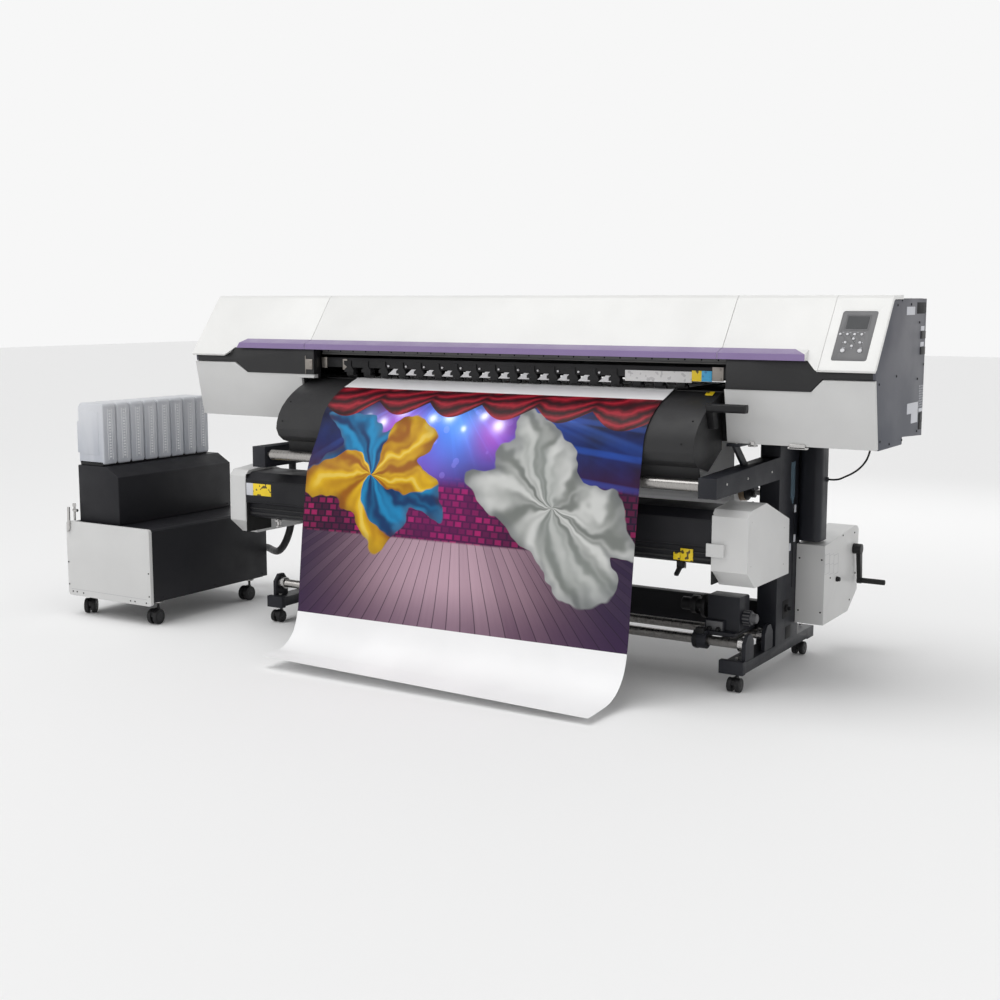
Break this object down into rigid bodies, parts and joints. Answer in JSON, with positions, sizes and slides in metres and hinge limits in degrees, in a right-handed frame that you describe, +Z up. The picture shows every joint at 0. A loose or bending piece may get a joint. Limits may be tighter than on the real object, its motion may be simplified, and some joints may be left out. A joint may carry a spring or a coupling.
{
  "type": "wide-format roll-to-roll inkjet printer",
  "caption": "Wide roll-to-roll inkjet printer on a caster stand, with hinged front cover, cutter beam, take-up unit, a hanging print and a hose-linked ink cart.",
  "frame": {"origin": "on the floor, at the middle of the whole machine's footprint, ink cart and print tail included", "axes": "+X to the operator's right along the printer, -Y towards the operator, +Z up"},
  "size_m": [3.43, 1.48, 1.367],
  "materials": {
    "cover": "moulded light grey, fine grain",
    "lower_cover": "satin light grey paint",
    "frame": "slate satin paint",
    "black": "black, moulded",
    "black_metal": "fine textured black powder coat",
    "guide": "dark grey textured powder coat",
    "leg": "blue-black powder coat",
    "steel": "ground, lightly worn",
    "panel": "dark grey membrane",
    "button": "light grey",
    "end_cap": "satin light grey",
    "grip": "ribbed soft grip",
    "hose": "woven sleeve",
    "wheel": "hard rubber tread",
    "media": "white coated vinyl banner film",
    "ink_case": "translucent smoky case"
  },
  "bodies": {
    "printer": {"main_frame": "frame", "left_end_cover": "cover", "right_cover": "cover", "right_end_cover": "cover", "control_panel": "panel", "lower_left_cover": "lower_cover", "lower_right_cover": "lower_cover", "media_guide": "guide", "media_sheet": "media", "left_leg": "leg", "right_leg": "leg", "column_cover": "leg", "lift_gearbox": "end_cap", "slitter_beam": "black_metal", "slitter_left_cap": "end_cap", "slitter_right_cap": "end_cap", "takeup_frame": "steel", "takeup_motor": "leg", "cart_body": "black_metal", "cart_panel": "lower_cover", "cart_housing": "black_metal", "ink_cases": "ink_case", "ink_hose": "hose", "power_cable": "hose"},
    "front_cover": {"front_cover": "cover"},
    "carriage": {"carriage": "black"},
    "pinch_bar": {"pinch_bar": "black"},
    "lift_lever": {"lift_lever": "black"},
    "crank": {"crank": "black"},
    "crank_handle": {"crank_handle": "grip"},
    "tension_roller": {"tension_roller": "steel"},
    "media_roll": {"media_roll": "media"},
    "takeup_chuck": {"takeup_chuck": "black"},
    "takeup_holder": {"takeup_holder": "black"},
    "button_menu": {"button_menu": "button"},
    "button_test": {"button_test": "button"},
    "button_clean": {"button_clean": "button"},
    "button_clear": {"button_clear": "button"},
    "button_up": {"button_up": "button"},
    "button_left": {"button_left": "button"},
    "button_right": {"button_right": "button"},
    "button_down": {"button_down": "button"},
    "button_end": {"button_end": "button"},
    "button_enter": {"button_enter": "button"},
    "caster_front_right_fork": {"caster_front_right_fork": "black"},
    "caster_front_right_wheels": {"caster_front_right_wheels": "wheel"},
    "caster_rear_right_fork": {"caster_rear_right_fork": "black"},
    "caster_rear_right_wheels": {"caster_rear_right_wheels": "wheel"},
    "caster_front_left_fork": {"caster_front_left_fork": "black"},
    "caster_front_left_wheels": {"caster_front_left_wheels": "wheel"},
    "caster_rear_left_fork": {"caster_rear_left_fork": "black"},
    "caster_rear_left_wheels": {"caster_rear_left_wheels": "wheel"},
    "cart_caster_front_left_fork": {"cart_caster_front_left_fork": "black"},
    "cart_caster_front_left_wheels": {"cart_caster_front_left_wheels": "wheel"},
    "cart_caster_front_right_fork": {"cart_caster_front_right_fork": "black"},
    "cart_caster_front_right_wheels": {"cart_caster_front_right_wheels": "wheel"},
    "cart_caster_rear_right_fork": {"cart_caster_rear_right_fork": "black"},
    "cart_caster_rear_right_wheels": {"cart_caster_rear_right_wheels": "wheel"},
    "cart_caster_rear_left_fork": {"cart_caster_rear_left_fork": "black"},
    "cart_caster_rear_left_wheels": {"cart_caster_rear_left_wheels": "wheel"}
  },
  "joints": [
    {"name": "front_cover_hinge", "type": "hinge", "parent": "printer", "child": "front_cover", "pos_m": [0.3, 0.05302, 1.358], "axis": [-1, 0, 0], "range_deg": [0, 60]},
    {"name": "carriage_slide", "type": "slide", "parent": "printer", "child": "carriage", "axis": [1, 0, 0], "range_m": [-2.4, 0]},
    {"name": "pinch_lift", "type": "slide", "parent": "printer", "child": "pinch_bar", "axis": [0, 0, 1], "range_m": [0, 0.01]},
    {"name": "lever_swing", "type": "hinge", "parent": "printer", "child": "lift_lever", "pos_m": [1.23, -0.23298, 0.942], "axis": [1, 0, 0], "range_deg": [0, 40]},
    {"name": "menu_press", "type": "slide", "parent": "printer", "child": "button_menu", "axis": [0, 0.8024, -0.5968], "range_m": [0, 0.0015], "stiffness_N_per_m": 400},
    {"name": "test_press", "type": "slide", "parent": "printer", "child": "button_test", "axis": [0, 0.8024, -0.5968], "range_m": [0, 0.0015], "stiffness_N_per_m": 400},
    {"name": "clean_press", "type": "slide", "parent": "printer", "child": "button_clean", "axis": [0, 0.8024, -0.5968], "range_m": [0, 0.0015], "stiffness_N_per_m": 400},
    {"name": "clear_press", "type": "slide", "parent": "printer", "child": "button_clear", "axis": [0, 0.8024, -0.5968], "range_m": [0, 0.0015], "stiffness_N_per_m": 400},
    {"name": "up_press", "type": "slide", "parent": "printer", "child": "button_up", "axis": [0, 0.8024, -0.5968], "range_m": [0, 0.0015], "stiffness_N_per_m": 400},
    {"name": "left_press", "type": "slide", "parent": "printer", "child": "button_left", "axis": [0, 0.8024, -0.5968], "range_m": [0, 0.0015], "stiffness_N_per_m": 400},
    {"name": "right_press", "type": "slide", "parent": "printer", "child": "button_right", "axis": [0, 0.8024, -0.5968], "range_m": [0, 0.0015], "stiffness_N_per_m": 400},
    {"name": "down_press", "type": "slide", "parent": "printer", "child": "button_down", "axis": [0, 0.8024, -0.5968], "range_m": [0, 0.0015], "stiffness_N_per_m": 400},
    {"name": "end_press", "type": "slide", "parent": "printer", "child": "button_end", "axis": [0, 0.8024, -0.5968], "range_m": [0, 0.0015], "stiffness_N_per_m": 400},
    {"name": "enter_press", "type": "slide", "parent": "printer", "child": "button_enter", "axis": [0, 0.8024, -0.5968], "range_m": [0, 0.0015], "stiffness_N_per_m": 400},
    {"name": "crank_turn", "type": "hinge", "parent": "printer", "child": "crank", "pos_m": [1.3914, 0.68302, 0.401], "axis": [1, 0, 0], "continuous": true},
    {"name": "crank_handle_spin", "type": "hinge", "parent": "crank", "child": "crank_handle", "pos_m": [1.451, 0.69902, 0.276], "axis": [1, 0, 0], "continuous": true},
    {"name": "tension_roller_spin", "type": "hinge", "parent": "printer", "child": "tension_roller", "pos_m": [0.2575, -0.33498, 0.742], "axis": [1, 0, 0], "continuous": true},
    {"name": "media_roll_spin", "type": "hinge", "parent": "printer", "child": "media_roll", "pos_m": [0.1925, 0.49502, 0.62], "axis": [1, 0, 0], "continuous": true},
    {"name": "takeup_chuck_spin", "type": "hinge", "parent": "printer", "child": "takeup_chuck", "pos_m": [1.022, 0.02002, 0.262], "axis": [1, 0, 0], "continuous": true},
    {"name": "takeup_holder_slide", "type": "slide", "parent": "printer", "child": "takeup_holder", "axis": [1, 0, 0], "range_m": [-0.12, 1.3]},
    {"name": "caster_front_right_swivel", "type": "hinge", "parent": "printer", "child": "caster_front_right_fork", "pos_m": [1.227, -0.09698, 0.05], "axis": [0, 0, 1], "continuous": true},
    {"name": "caster_front_right_roll", "type": "hinge", "parent": "caster_front_right_fork", "child": "caster_front_right_wheels", "pos_m": [1.227, -0.11498, 0.025], "axis": [1, 0, 0], "continuous": true},
    {"name": "caster_rear_right_swivel", "type": "hinge", "parent": "printer", "child": "caster_rear_right_fork", "pos_m": [1.227, 0.53702, 0.05], "axis": [0, 0, 1], "continuous": true},
    {"name": "caster_rear_right_roll", "type": "hinge", "parent": "caster_rear_right_fork", "child": "caster_rear_right_wheels", "pos_m": [1.227, 0.51902, 0.025], "axis": [1, 0, 0], "continuous": true},
    {"name": "caster_front_left_swivel", "type": "hinge", "parent": "printer", "child": "caster_front_left_fork", "pos_m": [-0.84, -0.09698, 0.05], "axis": [0, 0, 1], "continuous": true},
    {"name": "caster_front_left_roll", "type": "hinge", "parent": "caster_front_left_fork", "child": "caster_front_left_wheels", "pos_m": [-0.84, -0.11498, 0.025], "axis": [1, 0, 0], "continuous": true},
    {"name": "caster_rear_left_swivel", "type": "hinge", "parent": "printer", "child": "caster_rear_left_fork", "pos_m": [-0.84, 0.53702, 0.05], "axis": [0, 0, 1], "continuous": true},
    {"name": "caster_rear_left_roll", "type": "hinge", "parent": "caster_rear_left_fork", "child": "caster_rear_left_wheels", "pos_m": [-0.84, 0.51902, 0.025], "axis": [1, 0, 0], "continuous": true},
    {"name": "cart_caster_front_left_swivel", "type": "hinge", "parent": "printer", "child": "cart_caster_front_left_fork", "pos_m": [-1.66, -0.39498, 0.064], "axis": [0, 0, 1], "continuous": true},
    {"name": "cart_caster_front_left_roll", "type": "hinge", "parent": "cart_caster_front_left_fork", "child": "cart_caster_front_left_wheels", "pos_m": [-1.65046, -0.41025, 0.032], "axis": [0.848, 0.5299, 0], "continuous": true},
    {"name": "cart_caster_front_right_swivel", "type": "hinge", "parent": "printer", "child": "cart_caster_front_right_fork", "pos_m": [-1.255, -0.40098, 0.064], "axis": [0, 0, 1], "continuous": true},
    {"name": "cart_caster_front_right_roll", "type": "hinge", "parent": "cart_caster_front_right_fork", "child": "cart_caster_front_right_wheels", "pos_m": [-1.25249, -0.4188, 0.032], "axis": [0.9903, 0.1392, 0], "continuous": true},
    {"name": "cart_caster_rear_right_swivel", "type": "hinge", "parent": "printer", "child": "cart_caster_rear_right_fork", "pos_m": [-1.255, 0.16702, 0.064], "axis": [0, 0, 1], "continuous": true},
    {"name": "cart_caster_rear_right_roll", "type": "hinge", "parent": "cart_caster_rear_right_fork", "child": "cart_caster_rear_right_wheels", "pos_m": [-1.255, 0.14902, 0.032], "axis": [1, 0, 0], "continuous": true},
    {"name": "cart_caster_rear_left_swivel", "type": "hinge", "parent": "printer", "child": "cart_caster_rear_left_fork", "pos_m": [-1.67, 0.16702, 0.064], "axis": [0, 0, 1], "continuous": true},
    {"name": "cart_caster_rear_left_roll", "type": "hinge", "parent": "cart_caster_rear_left_fork", "child": "cart_caster_rear_left_wheels", "pos_m": [-1.67, 0.14902, 0.032], "axis": [1, 0, 0], "continuous": true}
  ],
  "couplings": [
    {"joint": "lever_swing", "follows": "pinch_lift", "rad_per_m": 69.8}
  ]
}
